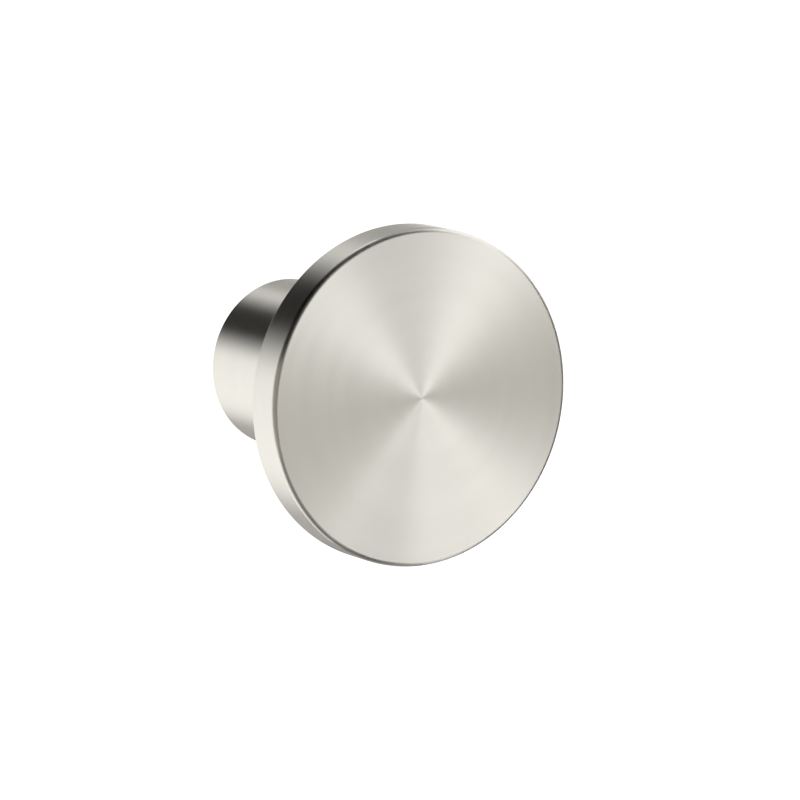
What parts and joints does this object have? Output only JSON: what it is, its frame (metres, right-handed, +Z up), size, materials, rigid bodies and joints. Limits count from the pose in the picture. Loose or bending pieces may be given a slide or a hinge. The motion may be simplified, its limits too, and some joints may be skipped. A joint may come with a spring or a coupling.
{
  "type": "cabinet knob",
  "caption": "Round cabinet or drawer knob: a flat disc head on a plain cylindrical stem, turned in one piece, with a blind tapped hole in its back for the mounting screw.",
  "frame": {"origin": "centre of the flat mounting face at the back of the stem, where it meets the drawer front", "axes": "+Y along the knob's axis into the drawer front, so the head's flat face looks towards -Y; +Z up; the knob is round about Y"},
  "size_m": [0.035, 0.028, 0.035],
  "materials": {
    "brushed_nickel": "circular brushed face, circumferentially brushed rim and stem, satin nickel"
  },
  "bodies": {
    "root": {"knob": "brushed_nickel"}
  },
  "joints": []
}
